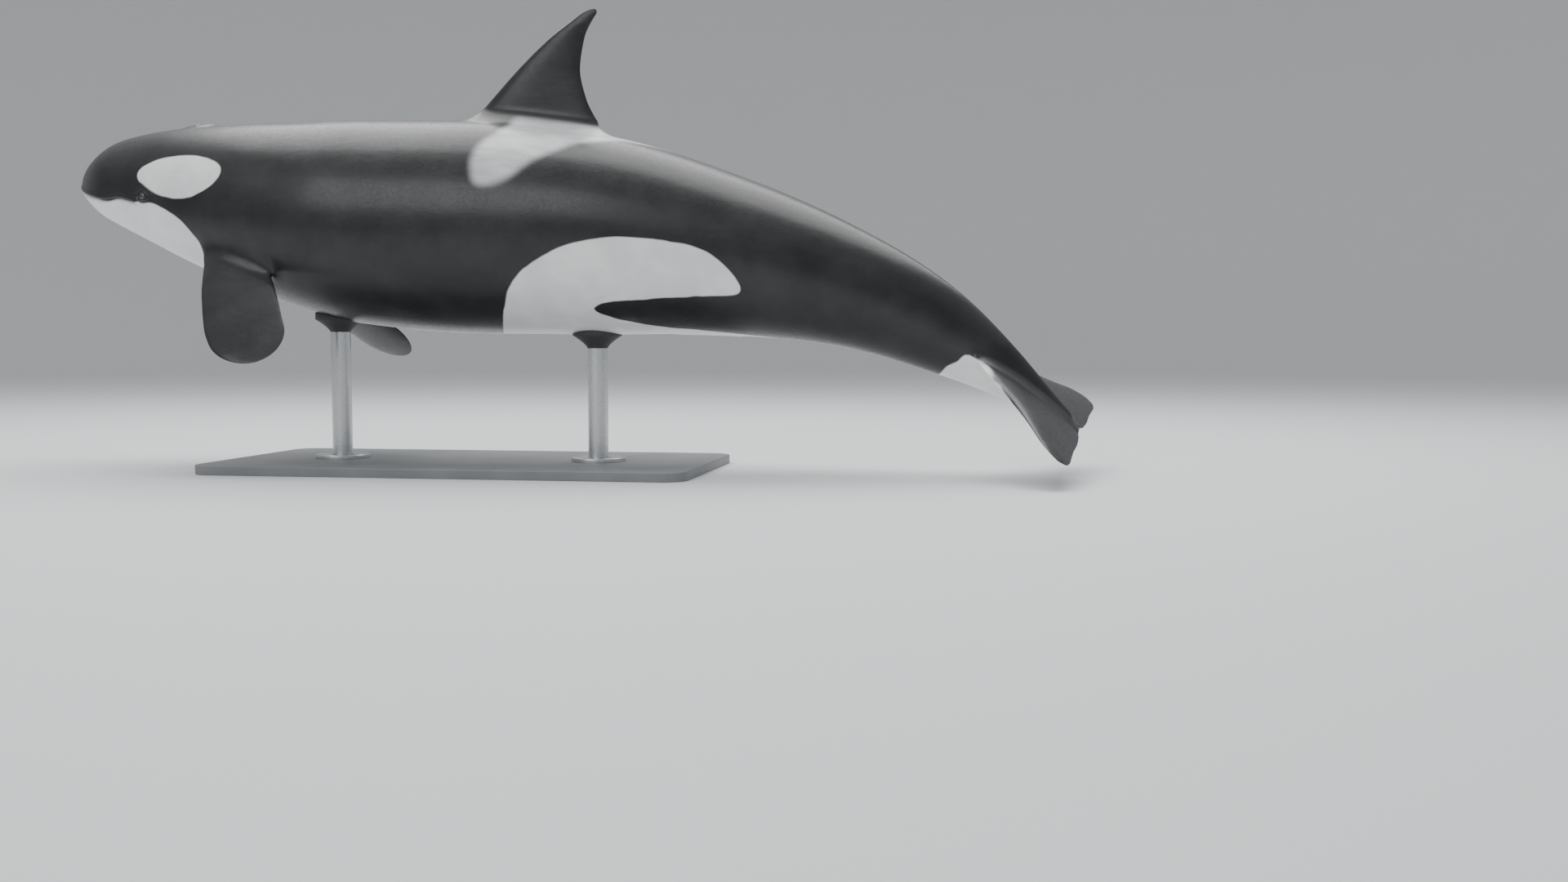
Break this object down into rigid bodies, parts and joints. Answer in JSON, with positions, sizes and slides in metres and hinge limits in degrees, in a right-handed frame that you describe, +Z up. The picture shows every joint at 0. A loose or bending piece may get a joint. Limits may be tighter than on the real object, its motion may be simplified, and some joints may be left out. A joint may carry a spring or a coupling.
{
  "type": "killer whale model on a display stand",
  "caption": "Life-size adult female killer whale in a shallow dive, with paddle flippers, curved dorsal fin and lowered flukes, held over a plain flat base by rods.",
  "frame": {"origin": "middle of the underside of the stand's flat base, at floor level", "axes": "+X runs from the head towards the tail, the animal's left side faces -Y, +Z is up"},
  "size_m": [5.7404, 1.5256, 2.4814],
  "materials": {
    "orca_skin": "wet, smooth black skin with sharp white eye patches, throat, belly and flank lobes, and a soft grey saddle behind the dorsal fin",
    "eye": "dark brown, wet and glossy",
    "stand_paint": "satin dark grey paint",
    "stand_steel": "brushed",
    "stand_pad": "matt black rubber pad"
  },
  "bodies": {
    "root": {"head": "orca_skin", "lower_jaw": "orca_skin", "chest": "orca_skin", "trunk": "orca_skin", "tail_stock": "orca_skin", "fluke_left": "orca_skin", "fluke_right": "orca_skin", "dorsal_fin": "orca_skin", "flipper_left": "orca_skin", "flipper_right": "orca_skin", "eye_left": "eye", "eye_right": "eye", "stand_base": "stand_paint", "stand_foot_front": "stand_steel", "stand_foot_rear": "stand_steel", "stand_rod_front": "stand_steel", "stand_rod_rear": "stand_steel", "stand_cup_front": "stand_pad", "stand_cup_rear": "stand_pad"}
  },
  "joints": []
}
